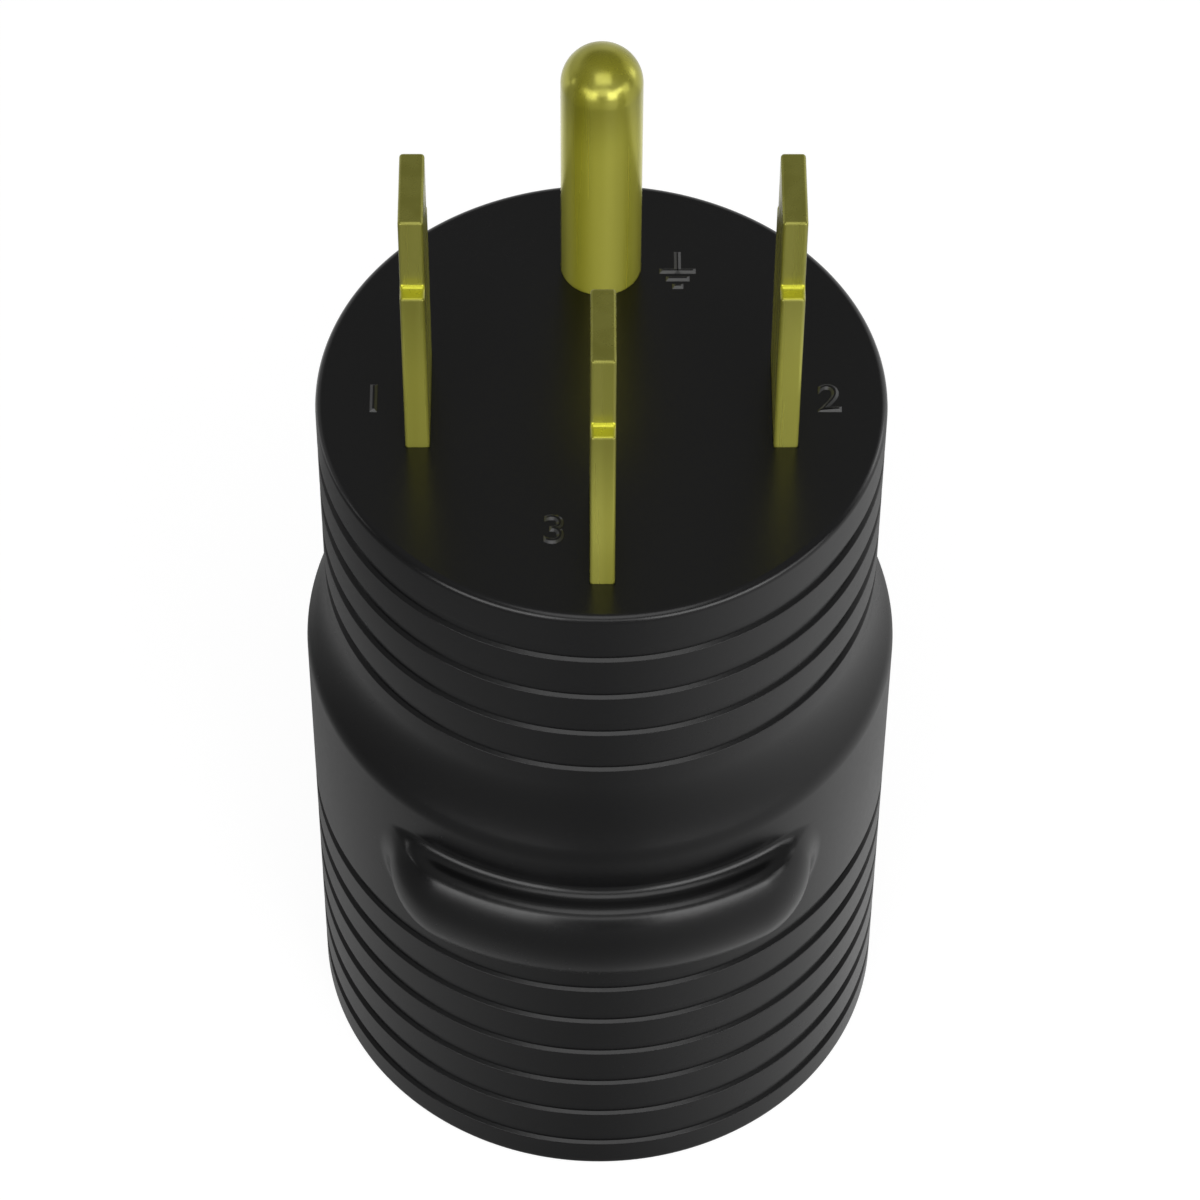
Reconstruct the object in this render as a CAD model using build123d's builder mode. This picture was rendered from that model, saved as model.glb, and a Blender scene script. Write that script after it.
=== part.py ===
from build123d import *

import os
from math import acos, atan2, cos, degrees, hypot, radians, sin, tan

# A travel adapter for camper power: a four pole 50 A plug on top and a three
# pole 30 A socket underneath, joined inside one round moulded grip.
# Millimetres. It stands on its socket end with the blades pointing up: Z is the
# long axis, the neutral blade is at the front (-Y), the earth pin at the back
# (+Y) and the two line blades are at the sides.

# Clearances
fit = 0.1
tiny = 0.01

# Moulded body: walls and ledges round the inner pieces, and edges
body_wall = 2.2
grip_step = 1.6
chamber_gap = 0.3
chamber_ledge = 2.2
foot_ledge = 1.5
foot_rim = 2.0
face_skin = 3.4
wire_space = 12.9
face_edge_radius = 0.6
foot_edge_radius = 0.9
shoulder_radius = 3.8
neck_radius = 13.8
neck_band = 1.9

# Ring grooves: four round the plug end, and as many as fit round the grip
groove_height = 1.3
groove_depth = 0.4
face_band = 3.5
plug_groove_pitch = 4.2
plug_groove_count = 4
grip_groove_pitch = 4.21
foot_band = 3.0

# Finger lips at the front and the back, bowed like the wall
lip_bow_inset = 3.5
lip_section_radius = 6.5
lip_ledge_rise = 4.0
lip_ledge_drop = 3.3
lip_half_angle = 29.5
lip_edge_radius = 0.5
lip_root_radius = 0.9
lip_groove_gap = 1.05
lip_angles = (-90, 90)

# Flat blades and earth pin
blade_thickness = 1.7
blade_width = 8.7
blade_reach = 21.7
ledge_reach = 15.4
blade_inset = 1.15
blade_edge_bevel = 0.25
ledge_root_radius = 0.4
line_blade_x = 12.75
line_blade_y = -0.5
neutral_blade_y = -12.55
earth_pin_y = 12.0
earth_pin_radius = 2.85
earth_pin_reach = 21.5
pin_relief_radius = 2.6
pin_relief_length = 0.6
stop_lug = 2.0
stop_height = 2.0
stop_setback = 0.6
collar_radius = 4.2
tail_width = 5.0
tail_length = 3.0

# Blade carrier with its insulating ribs
carrier_thickness = 7.0
rib_thickness = 1.6
rib_height = 5.5
rib_length = 29.0

# Socket insert and its cover
socket_recess = 0.5
socket_floor = 3.5
socket_height = 21.5
cover_thickness = 4.0
slot_width = 2.4
slot_length = 12.6
slot_x = 8.3
slot_y = -2.6
slot_angle = 45
entry_bevel = 0.4
contact_pocket_width = 6.6
contact_pocket_length = 13.4
earth_hole_y = 9.0
earth_hole_radius = 3.4
earth_pocket_radius = 4.9

# Spring contacts
strip_thickness = 0.8
leaf_width = 11.0
leaf_spread = 4.2
leaf_pinch = 2.3
leaf_mouth = 3.6
pinch_height = 4.3
knee_height = 10.0
leaf_bend_radius = 0.8
contact_tab_width = 4.4
contact_tab_thickness = 1.2
tab_offset = 3.0
sleeve_radius = 3.2
sleeve_wall = 0.8
sleeve_crown = 1.2
sleeve_cut_width = 1.0
sleeve_cut_height = 12.0
band_thickness = 0.5
band_height = 3.5
band_level = 12.0
band_gap = 2.4

# Crimp barrels and wires
barrel_radius = 2.55
barrel_bore = 1.6
barrel_height = 7.0
barrel_depth = 5.6
barrel_standoff = 1.2
core_radius = 1.45
jacket_radius = 2.1
wire_lead = 3.2
wire_bend_share = 0.9
jacket_gap = 0.4

# Levels from the socket end up to the face
socket_top = socket_recess + socket_height
chamber_bottom = socket_top + cover_thickness
contact_bottom = socket_recess + socket_floor + 2 * fit
contact_top = socket_top - fit
socket_barrel_base = chamber_bottom + barrel_standoff
socket_barrel_mouth = socket_barrel_base + barrel_height
plug_barrel_mouth = socket_barrel_mouth + wire_space
stop_bottom = plug_barrel_mouth + barrel_height + tail_length
stop_top = stop_bottom + stop_height
chamber_top = stop_bottom - stop_setback
pocket_top = chamber_top + carrier_thickness
body_height = pocket_top + face_skin

# Radii from the poles outwards
pole_reach = max(line_blade_x, -neutral_blade_y, earth_pin_y)
chamber_radius = pole_reach + barrel_radius + chamber_gap
pocket_radius = chamber_radius + chamber_ledge
foot_opening_radius = pocket_radius - foot_ledge
face_radius = pocket_radius + body_wall
grip_radius = face_radius + grip_step
lip_bow_radius = grip_radius - lip_bow_inset

# Outer levels from the face down to the foot
plug_groove_top = body_height - face_band
plug_groove_bottom = plug_groove_top - (plug_groove_count - 1) * plug_groove_pitch - groove_height
neck_lean = acos(1 - grip_step / (shoulder_radius + neck_radius))
neck_top = plug_groove_bottom - neck_band
shoulder_start = neck_top - (shoulder_radius + neck_radius) * sin(neck_lean)
lip_ledge_height = shoulder_start - lip_ledge_drop
lip_centre_height = lip_ledge_height - lip_ledge_rise
lip_bottom = lip_centre_height - lip_section_radius
grip_groove_top = lip_bottom - lip_groove_gap
grip_groove_count = 1 + int((grip_groove_top - groove_height - foot_band) / grip_groove_pitch)

# Name, x, y and whether a wire is crimped to it: the adapter feeds one line only
blades = (
    ("line_blade", -line_blade_x, line_blade_y, True),
    ("spare_line_blade", line_blade_x, line_blade_y, False),
    ("neutral_blade", 0.0, neutral_blade_y, True),
)
# Pole, side of the socket, and how far its wire tab is moved out along the slot
flat_contacts = (
    ("line", -1, tab_offset),
    ("neutral", 1, -tab_offset),
)

os.makedirs("parts", exist_ok=True)


def save(part, name):
    """Label a finished piece and write it to its own file."""
    part.label = name
    export_step(part, f"parts/{name}.step")


def upright_plane(angle, radius):
    """Upright plane that faces round the Z axis, with its origin at a radius and its x outwards."""
    turn = radians(angle)
    return Plane(
        origin=(radius * cos(turn), radius * sin(turn), 0),
        x_dir=(cos(turn), sin(turn), 0),
        z_dir=(sin(turn), -cos(turn), 0),
    )


def slot_plane(side, height):
    """Level plane over one slot of the socket, with its x axis along the slot, outwards."""
    turn = radians(slot_angle)
    return Plane(
        origin=(side * slot_x, slot_y, height),
        x_dir=(side * cos(turn), sin(turn), 0),
        z_dir=(0, 0, 1),
    )


def tab_plane(side, along, height):
    """Level plane over a contact's wire tab, turned as its slot is."""
    middle = slot_plane(side, height).from_local_coords((along, 0, 0))
    return Plane(origin=middle, x_dir=slot_plane(side, height).x_dir, z_dir=(0, 0, 1))


def lip_section(plane):
    """Half section of a finger lip: a round nose under a level ledge."""
    with BuildSketch(plane) as section:
        with Locations((0, lip_centre_height)):
            Circle(lip_section_radius)
        with Locations((0, lip_ledge_height)):
            Rectangle(
                lip_section_radius,
                2 * lip_section_radius,
                align=(Align.MIN, Align.MAX),
                mode=Mode.INTERSECT,
            )
        ledge_corner = section.vertices().group_by(Axis.Y)[-1].sort_by(Axis.X)[-1]
        fillet(ledge_corner, lip_edge_radius)
    return section.sketch


def is_lip_root(edge):
    """True for an edge where a finger lip meets the round wall."""
    point = edge @ 0.4
    beside_lip = hypot(point.X, point.Y) > grip_radius - tiny
    on_wall = hypot(point.X, point.Y) < grip_radius + tiny
    return beside_lip and on_wall and lip_bottom < point.Z < lip_ledge_height + tiny


def ring_grooves():
    """Sections of all the ring grooves, ready to be turned and cut."""
    stacks = (
        (face_radius, plug_groove_top, plug_groove_pitch, plug_groove_count),
        (grip_radius, grip_groove_top, grip_groove_pitch, grip_groove_count),
    )
    with BuildSketch(Plane.XZ) as rings:
        for wall, first_top, pitch, count in stacks:
            for index in range(count):
                with Locations((wall, first_top - index * pitch)):
                    Rectangle(2 * groove_depth, groove_height, align=(Align.CENTER, Align.MAX))
    return rings.sketch


def turned_hole(x, y, radius, bottom, top):
    """Cut a round upright hole between two levels in the part being built."""
    with Locations((x, y, bottom)):
        Cylinder(
            radius,
            top - bottom,
            align=(Align.CENTER, Align.CENTER, Align.MIN),
            mode=Mode.SUBTRACT,
        )


def upright_slot(x, front, rear, thickness, bottom, top):
    """Cut a flat upright slot, thin along X, between two levels in the part being built."""
    with Locations((x, (front + rear) / 2, bottom)):
        Box(
            thickness,
            rear - front,
            top - bottom,
            align=(Align.CENTER, Align.CENTER, Align.MIN),
            mode=Mode.SUBTRACT,
        )


# Moulded body: turned outline, two finger lips, ring grooves, then the inside
with BuildPart() as body:
    with BuildSketch(Plane.XZ):
        with BuildLine():
            foot_centre = (grip_radius - foot_edge_radius, foot_edge_radius)
            face_centre = (face_radius - face_edge_radius, body_height - face_edge_radius)
            Line((0, 0), (foot_centre[0], 0))
            CenterArc(foot_centre, foot_edge_radius, 270, 90)
            Line((grip_radius, foot_edge_radius), (grip_radius, shoulder_start))
            CenterArc(
                (grip_radius - shoulder_radius, shoulder_start), shoulder_radius, 0, degrees(neck_lean)
            )
            CenterArc((face_radius + neck_radius, neck_top), neck_radius, 180, degrees(neck_lean))
            Line((face_radius, neck_top), (face_radius, face_centre[1]))
            CenterArc(face_centre, face_edge_radius, 0, 90)
            Polyline((face_centre[0], body_height), (0, body_height), (0, 0))
        make_face()
    revolve(axis=Axis.Z)
    for lip_angle in lip_angles:
        start = upright_plane(lip_angle - lip_half_angle, lip_bow_radius)
        revolve(lip_section(start), axis=Axis.Z, revolution_arc=2 * lip_half_angle)
        for end_angle in (lip_angle - lip_half_angle, lip_angle + lip_half_angle):
            end = upright_plane(end_angle, lip_bow_radius)
            revolve(lip_section(end), axis=Axis(end.origin, (0, 0, 1)))
    fillet(body.edges().filter_by(is_lip_root), lip_root_radius)
    revolve(ring_grooves(), axis=Axis.Z, mode=Mode.SUBTRACT)
    turned_hole(0, 0, foot_opening_radius, 0, foot_rim)
    turned_hole(0, 0, pocket_radius, foot_rim, chamber_bottom)
    turned_hole(0, 0, chamber_radius, chamber_bottom, chamber_top)
    turned_hole(0, 0, pocket_radius, chamber_top, pocket_top)
    for blade_name, x, y, wired in blades:
        half_slot = blade_width / 2 + fit
        upright_slot(x, y - half_slot, y + half_slot, blade_thickness + 2 * fit, pocket_top, body_height)
    turned_hole(0, earth_pin_y, earth_pin_radius + fit, pocket_top, body_height)
save(body.part, "body")

# Flat blades: one stamping each, with a step near the tip and a stop lug inside
for blade_name, x, y, wired in blades:
    with BuildPart() as blade:
        front = y - blade_width / 2
        rear = y + blade_width / 2
        with BuildSketch(Plane.YZ.offset(x)):
            with BuildLine():
                ledge = body_height + ledge_reach
                tip = body_height + blade_reach
                Polyline(
                    (front, stop_bottom),
                    (front, ledge),
                    (front + blade_inset, ledge),
                    (front + blade_inset, tip),
                    (rear - blade_inset, tip),
                    (rear - blade_inset, ledge),
                    (rear, ledge),
                    (rear, stop_top),
                    (rear + stop_lug, stop_top),
                    (rear + stop_lug, stop_bottom),
                    close=True,
                )
            make_face()
            if wired:
                with Locations((y, stop_bottom)):
                    Rectangle(tail_width, tail_length + tiny, align=(Align.CENTER, Align.MAX))
        extrude(amount=blade_thickness / 2, both=True)
        step_edges = blade.edges().filter_by(Axis.X).filter_by_position(Axis.Z, ledge - tiny, ledge + tiny)
        fillet(step_edges.sort_by_distance((x, y, ledge))[:2], ledge_root_radius)
        chamfer(blade.edges().filter_by_position(Axis.Z, body_height, tip + tiny), blade_edge_bevel)
        if wired:
            with Locations((x, y, plug_barrel_mouth)):
                Cylinder(barrel_radius, barrel_height, align=(Align.CENTER, Align.CENTER, Align.MIN))
            turned_hole(x, y, barrel_bore, plug_barrel_mouth, plug_barrel_mouth + barrel_depth)
    save(blade.part, blade_name)

# Earth pin: turned rod with a domed tip, a relief just under the face, a stop
# collar and a crimp barrel
with BuildPart() as earth_pin:
    with BuildSketch(Plane.XZ.offset(-earth_pin_y)):
        with BuildLine():
            dome_base = body_height + earth_pin_reach - earth_pin_radius
            Polyline(
                (0, dome_base + earth_pin_radius),
                (0, plug_barrel_mouth + barrel_depth),
                (barrel_bore, plug_barrel_mouth + barrel_depth),
                (barrel_bore, plug_barrel_mouth),
                (barrel_radius, plug_barrel_mouth),
                (barrel_radius, stop_bottom),
                (collar_radius, stop_bottom),
                (collar_radius, stop_top),
                (earth_pin_radius, stop_top),
                (earth_pin_radius, body_height - pin_relief_length),
                (pin_relief_radius, body_height - pin_relief_length),
                (pin_relief_radius, body_height),
                (earth_pin_radius, body_height),
                (earth_pin_radius, dome_base),
            )
            CenterArc((0, dome_base), earth_pin_radius, 0, 90)
        make_face()
    revolve(axis=Axis((0, earth_pin_y, 0), (0, 0, 1)))
save(earth_pin.part, "earth_pin")

# Blade carrier: the moulded disc that holds the four poles under the face
with BuildPart() as blade_carrier:
    with Locations((0, 0, chamber_top)):
        Cylinder(pocket_radius - fit, carrier_thickness, align=(Align.CENTER, Align.CENTER, Align.MIN))
    with Locations(Location((0, 0, chamber_top), (0, 0, 45)), Location((0, 0, chamber_top), (0, 0, 135))):
        Box(
            rib_length,
            rib_thickness,
            rib_height,
            align=(Align.CENTER, Align.CENTER, Align.MAX),
        )
    for blade_name, x, y, wired in blades:
        slot_front = y - blade_width / 2 - fit
        slot_rear = y + blade_width / 2 + fit
        slot_thickness = blade_thickness + 2 * fit
        upright_slot(x, slot_front, slot_rear, slot_thickness, chamber_top, pocket_top)
        upright_slot(x, slot_front, slot_rear + stop_lug, slot_thickness, chamber_top, stop_top + fit)
    turned_hole(0, earth_pin_y, earth_pin_radius + fit, chamber_top, pocket_top)
    turned_hole(0, earth_pin_y, collar_radius + fit, chamber_top, stop_top + fit)
save(blade_carrier.part, "blade_carrier")

# Socket insert: face with two slanted slots and the earth hole, pockets behind
with BuildPart() as socket_insert:
    with Locations((0, 0, socket_recess)):
        Cylinder(
            foot_opening_radius - fit, socket_height, align=(Align.CENTER, Align.CENTER, Align.MIN)
        )
    with Locations((0, 0, foot_rim + fit)):
        Cylinder(
            pocket_radius - fit,
            socket_top - foot_rim - fit,
            align=(Align.CENTER, Align.CENTER, Align.MIN),
        )
    for pole, side, along in flat_contacts:
        with BuildSketch(slot_plane(side, socket_recess)):
            Rectangle(slot_length, slot_width)
        extrude(amount=socket_floor, mode=Mode.SUBTRACT)
        with BuildSketch(slot_plane(side, socket_recess + socket_floor)):
            Rectangle(contact_pocket_length, contact_pocket_width)
        extrude(amount=socket_height - socket_floor, mode=Mode.SUBTRACT)
    turned_hole(0, earth_hole_y, earth_hole_radius, socket_recess, socket_recess + socket_floor)
    turned_hole(0, earth_hole_y, earth_pocket_radius, socket_recess + socket_floor, socket_top)
    socket_face = socket_insert.faces().sort_by(Axis.Z)[0]
    chamfer(socket_face.inner_wires().edges(), entry_bevel)
save(socket_insert.part, "socket_insert")

# Socket cover: closes the pockets and lets the three wire tabs through
with BuildPart() as socket_cover:
    with Locations((0, 0, socket_top)):
        Cylinder(pocket_radius - fit, cover_thickness, align=(Align.CENTER, Align.CENTER, Align.MIN))
    for pole, side, along in flat_contacts:
        with BuildSketch(tab_plane(side, along, socket_top)):
            Rectangle(contact_tab_width + 2 * fit, contact_tab_thickness + 2 * fit)
        extrude(amount=cover_thickness, mode=Mode.SUBTRACT)
    with BuildSketch(Plane.XY.offset(socket_top)):
        with Locations((0, earth_hole_y)):
            Rectangle(contact_tab_width + 2 * fit, contact_tab_thickness + 2 * fit)
    extrude(amount=cover_thickness, mode=Mode.SUBTRACT)
save(socket_cover.part, "socket_cover")


def wire_tab(plane):
    """Add a flat tab up through the cover and a crimp barrel on its end."""
    with BuildSketch(plane) as tab:
        Rectangle(contact_tab_width, contact_tab_thickness)
    extrude(tab.sketch, amount=socket_barrel_base + tiny - plane.origin.Z)
    middle = plane.origin
    with Locations((middle.X, middle.Y, socket_barrel_base)):
        Cylinder(barrel_radius, barrel_height, align=(Align.CENTER, Align.CENTER, Align.MIN))
    turned_hole(
        middle.X, middle.Y, barrel_bore, socket_barrel_mouth - barrel_depth, socket_barrel_mouth
    )


# Flat contacts: a strip folded into two sprung leaves that grip a blade
for pole, side, along in flat_contacts:
    with BuildPart() as contact:
        level = slot_plane(side, 0)
        fold = Plane(origin=level.origin, x_dir=level.y_dir, z_dir=level.x_dir)
        with BuildSketch(fold):
            with BuildLine():
                half = strip_thickness / 2
                FilletPolyline(
                    (-leaf_mouth / 2 - half, contact_bottom),
                    (-leaf_pinch / 2, contact_bottom + pinch_height),
                    (-leaf_spread / 2, contact_bottom + knee_height),
                    (-leaf_spread / 2, contact_top - half),
                    (leaf_spread / 2, contact_top - half),
                    (leaf_spread / 2, contact_bottom + knee_height),
                    (leaf_pinch / 2, contact_bottom + pinch_height),
                    (leaf_mouth / 2 + half, contact_bottom),
                    radius=leaf_bend_radius,
                )
            trace(line_width=strip_thickness)
        extrude(amount=leaf_width / 2, both=True)
        wire_tab(tab_plane(side, along, contact_top - half))
    save(contact.part, f"{pole}_contact")

    with BuildPart() as spring_band:
        with BuildSketch(slot_plane(side, contact_bottom + band_level)):
            inner_length = leaf_width + 2 * fit
            inner_width = leaf_spread + strip_thickness + 2 * fit
            Rectangle(inner_length + 2 * band_thickness, inner_width + 2 * band_thickness)
            Rectangle(inner_length, inner_width, mode=Mode.SUBTRACT)
            with Locations((inner_length / 2, 0)):
                Rectangle(4 * band_thickness, band_gap, mode=Mode.SUBTRACT)
        extrude(amount=band_height)
    save(spring_band.part, f"{pole}_spring_band")

# Earth contact: a slit sleeve that grips a round pin, with its own band
with BuildPart() as earth_contact:
    sleeve_height = contact_top - contact_bottom
    with Locations((0, earth_hole_y, contact_bottom)):
        Cylinder(
            sleeve_radius + sleeve_wall, sleeve_height, align=(Align.CENTER, Align.CENTER, Align.MIN)
        )
    turned_hole(0, earth_hole_y, sleeve_radius, contact_bottom, contact_top - sleeve_crown)
    with Locations((0, earth_hole_y, contact_bottom)):
        for cut_turn in (0, 90):
            with Locations(Location((0, 0, 0), (0, 0, cut_turn))):
                Box(
                    2 * earth_pocket_radius,
                    sleeve_cut_width,
                    sleeve_cut_height,
                    align=(Align.CENTER, Align.CENTER, Align.MIN),
                    mode=Mode.SUBTRACT,
                )
    wire_tab(Plane(origin=(0, earth_hole_y, contact_top - half), z_dir=(0, 0, 1)))
save(earth_contact.part, "earth_contact")

with BuildPart() as earth_spring_band:
    with BuildSketch(Plane.XY.offset(contact_bottom + sleeve_cut_height - 2 * band_height)):
        with Locations((0, earth_hole_y)):
            band_inner = sleeve_radius + sleeve_wall + fit
            Circle(band_inner + band_thickness)
            Circle(band_inner, mode=Mode.SUBTRACT)
        with Locations((0, earth_hole_y + band_inner)):
            Rectangle(band_gap, 4 * band_thickness, mode=Mode.SUBTRACT)
    extrude(amount=band_height)
save(earth_spring_band.part, "earth_spring_band")


def wire_route(plug_place, socket_place, plug_end, socket_end):
    """Bent centre line of a wire, from a plug barrel down to a socket barrel."""
    shift = hypot(plug_place[0] - socket_place[0], plug_place[1] - socket_place[1])
    drop = wire_space - 2 * wire_lead
    free_lead = wire_lead - jacket_gap
    half_run = hypot(shift, drop) / 2
    half_turn = atan2(shift, drop) / 2
    return FilletPolyline(
        (*plug_place, plug_end),
        (*plug_place, plug_barrel_mouth - wire_lead),
        (*socket_place, socket_barrel_mouth + wire_lead),
        (*socket_place, socket_end),
        radius=wire_bend_share * min(free_lead, half_run) / tan(half_turn),
    )


# Wires: a copper core crimped at both ends, and its jacket between the barrels
line_tab = tab_plane(-1, tab_offset, 0).origin
neutral_tab = tab_plane(1, -tab_offset, 0).origin
wires = (
    ("line", (-line_blade_x, line_blade_y), (line_tab.X, line_tab.Y)),
    ("neutral", (0, neutral_blade_y), (neutral_tab.X, neutral_tab.Y)),
    ("earth", (0, earth_pin_y), (0, earth_hole_y)),
)
for pole, plug_place, socket_place in wires:
    with BuildPart() as core:
        with BuildLine() as core_route:
            seat = barrel_depth - fit
            wire_route(plug_place, socket_place, plug_barrel_mouth + seat, socket_barrel_mouth - seat)
        with BuildSketch(Plane(origin=core_route.line @ 0, z_dir=core_route.line % 0)):
            Circle(core_radius)
        sweep()
    save(core.part, f"{pole}_wire_core")

    with BuildPart() as jacket:
        with BuildLine() as jacket_route:
            wire_route(
                plug_place, socket_place, plug_barrel_mouth - jacket_gap, socket_barrel_mouth + jacket_gap
            )
        with BuildSketch(Plane(origin=jacket_route.line @ 0, z_dir=jacket_route.line % 0)):
            Circle(jacket_radius)
            Circle(core_radius + tiny, mode=Mode.SUBTRACT)
        sweep()
    save(jacket.part, f"{pole}_wire_jacket")
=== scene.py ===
import logging
import math
from dataclasses import dataclass
from enum import Enum
from typing import Iterable, Mapping, Sequence, Union

import bmesh
import bpy
from mathutils import Matrix, Vector


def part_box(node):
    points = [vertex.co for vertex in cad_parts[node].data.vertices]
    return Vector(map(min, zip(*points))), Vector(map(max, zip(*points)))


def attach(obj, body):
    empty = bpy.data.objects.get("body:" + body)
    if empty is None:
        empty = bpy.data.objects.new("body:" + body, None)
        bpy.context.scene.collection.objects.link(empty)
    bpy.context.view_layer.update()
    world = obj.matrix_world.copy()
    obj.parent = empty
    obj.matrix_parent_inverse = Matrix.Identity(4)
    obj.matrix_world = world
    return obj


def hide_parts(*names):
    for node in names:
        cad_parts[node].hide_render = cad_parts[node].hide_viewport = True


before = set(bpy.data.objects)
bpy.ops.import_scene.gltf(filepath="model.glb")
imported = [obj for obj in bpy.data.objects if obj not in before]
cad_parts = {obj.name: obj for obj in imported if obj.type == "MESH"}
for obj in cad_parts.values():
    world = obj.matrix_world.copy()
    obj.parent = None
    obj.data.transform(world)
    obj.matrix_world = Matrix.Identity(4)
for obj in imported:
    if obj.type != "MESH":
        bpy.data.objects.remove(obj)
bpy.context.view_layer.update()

MM = 0.001
FLAT_WEIGHT = 80
log = logging.getLogger("adapter")

Point = tuple[float, float]
Triple = tuple[float, float, float]
Colour = Triple
Operand = Union["Value", float, int]


class Value:
    """One output of a node, which takes part in Python arithmetic by adding Math nodes."""

    def __init__(self, graph: "Graph", socket: bpy.types.NodeSocket) -> None:
        """Wrap a socket of a graph."""
        self.graph = graph
        self.socket = socket

    def other(self, name: str) -> "Value":
        """Give another output of the same node."""
        return Value(self.graph, self.socket.node.outputs[name])

    def math(self, operation: str, *others: Operand) -> "Value":
        """Add a Math node whose first operand is this."""
        return self.graph.maths(operation, self, *others)

    def __add__(self, value: Operand) -> "Value":
        """Add."""
        return self.math("ADD", value)

    def __sub__(self, value: Operand) -> "Value":
        """Subtract."""
        return self.math("SUBTRACT", value)

    def __rsub__(self, value: Operand) -> "Value":
        """Subtract this from another."""
        return self.graph.maths("SUBTRACT", value, self)

    def __mul__(self, value: Operand) -> "Value":
        """Multiply."""
        return self.math("MULTIPLY", value)

    def __truediv__(self, value: Operand) -> "Value":
        """Divide."""
        return self.math("DIVIDE", value)

    def __rtruediv__(self, value: Operand) -> "Value":
        """Divide another by this."""
        return self.graph.maths("DIVIDE", value, self)

    def __lt__(self, value: Operand) -> "Value":
        """Give 1 where this is less, and 0 elsewhere."""
        return self.math("LESS_THAN", value)

    def __gt__(self, value: Operand) -> "Value":
        """Give 1 where this is greater, and 0 elsewhere."""
        return self.math("GREATER_THAN", value)

    __radd__ = __add__
    __rmul__ = __mul__

    def root(self) -> "Value":
        """Give the square root."""
        return self.math("SQRT")

    def least(self, value: Operand) -> "Value":
        """Give the smaller of the two."""
        return self.math("MINIMUM", value)

    def most(self, value: Operand) -> "Value":
        """Give the larger of the two."""
        return self.math("MAXIMUM", value)

    def rise(self, start: float, end: float) -> "Value":
        """Rise smoothly from 0 at the start to 1 at the end."""
        inputs = {"Value": self, "From Min": start, "From Max": end}
        return self.graph.add("ShaderNodeMapRange", {"interpolation_type": "SMOOTHSTEP"}, inputs)


def length(across: Value, along: Value) -> Value:
    """Give the length of two legs at right angles."""
    return (across * across + along * along).root()


class Graph:
    """A node tree with one way to add any node."""

    def __init__(self, tree: bpy.types.NodeTree) -> None:
        """Wrap a node tree."""
        self.tree = tree

    def add(
        self,
        kind: str,
        settings: Mapping[str, object] | None = None,
        inputs: Mapping[Union[str, int], object] | None = None,
        output: Union[str, int] = 0,
    ) -> Value:
        """Add a node.

        Args:
            kind: the node's type.
            settings: its own settings, set first.
            inputs: socket names or numbers, with the values or links that they get.
            output: which output to give back.

        Returns:
            That output.
        """
        node = self.tree.nodes.new(kind)
        for name, setting in (settings or {}).items():
            setattr(node, name, setting)
        for name, given in (inputs or {}).items():
            self.feed(node.inputs[name], given)
        return Value(self, node.outputs[output])

    def maths(self, operation: str, *operands: Operand) -> Value:
        """Add a Math node."""
        return self.add("ShaderNodeMath", {"operation": operation}, dict(enumerate(operands)))

    def vector(self, operation: str, *operands: object) -> Value:
        """Add a Vector Math node."""
        return self.add("ShaderNodeVectorMath", {"operation": operation}, dict(enumerate(operands)))

    def combine(self, x: Operand, y: Operand, z: Operand) -> Value:
        """Make a vector of three numbers."""
        return self.add("ShaderNodeCombineXYZ", None, {"X": x, "Y": y, "Z": z})

    def separate(self, vector: Value) -> tuple[Value, Value, Value]:
        """Take a vector apart into its three numbers."""
        x = self.add("ShaderNodeSeparateXYZ", None, {0: vector})
        return x, x.other("Y"), x.other("Z")

    def feed(self, socket: bpy.types.NodeSocket, given: object) -> None:
        """Link a value to a socket, or set the socket itself.

        Args:
            socket: the socket.
            given: the value to link, or the number, colour or name to set.
        """
        if isinstance(given, Value):
            self.tree.links.new(given.socket, socket)
        else:
            socket.default_value = given


class ShapeGraph(Graph):
    """A Geometry Nodes tree with named inputs that makes one mesh."""

    def __init__(self, name: str, inputs: Mapping[str, str]) -> None:
        """Make the tree.

        Args:
            name: the tree's name.
            inputs: each input's name and its socket type.
        """
        tree = bpy.data.node_groups.new(name, "GeometryNodeTree")
        tree.is_modifier = True
        super().__init__(tree)
        labelled = {"Shape": "NodeSocketGeometry", **inputs, "Finish": "NodeSocketMaterial"}
        for label, kind in labelled.items():
            tree.interface.new_socket(name=label, in_out="INPUT", socket_type=kind)
        tree.interface.new_socket(name="Shape", in_out="OUTPUT", socket_type="NodeSocketGeometry")
        self.entry = tree.nodes.new("NodeGroupInput")

    def given(self, name: str) -> Value:
        """Give one of the tree's inputs."""
        return Value(self, self.entry.outputs[name])

    def finish(self, shape: Value) -> None:
        """End the tree: realize what is instanced and set its material.

        Args:
            shape: the geometry that the tree has made.
        """
        real = self.add("GeometryNodeRealizeInstances", None, {"Geometry": shape})
        inputs = {"Geometry": real, "Material": self.given("Finish")}
        dressed = self.add("GeometryNodeSetMaterial", None, inputs)
        leave = self.tree.nodes.new("NodeGroupOutput")
        self.feed(leave.inputs["Shape"], dressed)

    def make(
        self, name: str, start: bpy.types.Object, values: Mapping[str, object]
    ) -> bpy.types.Object:
        """Run the tree on an object.

        Args:
            name: the new piece's name.
            start: the object that the tree starts from, which is used up.
            values: a value for each of the tree's inputs.

        Returns:
            A plain mesh object.
        """
        modifier = start.modifiers.new("shape", "NODES")
        modifier.node_group = self.tree
        for item in self.tree.interface.items_tree:
            if item.in_out == "INPUT" and item.name in values:
                modifier[item.identifier] = values[item.name]
        return settle(name, start)


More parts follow.
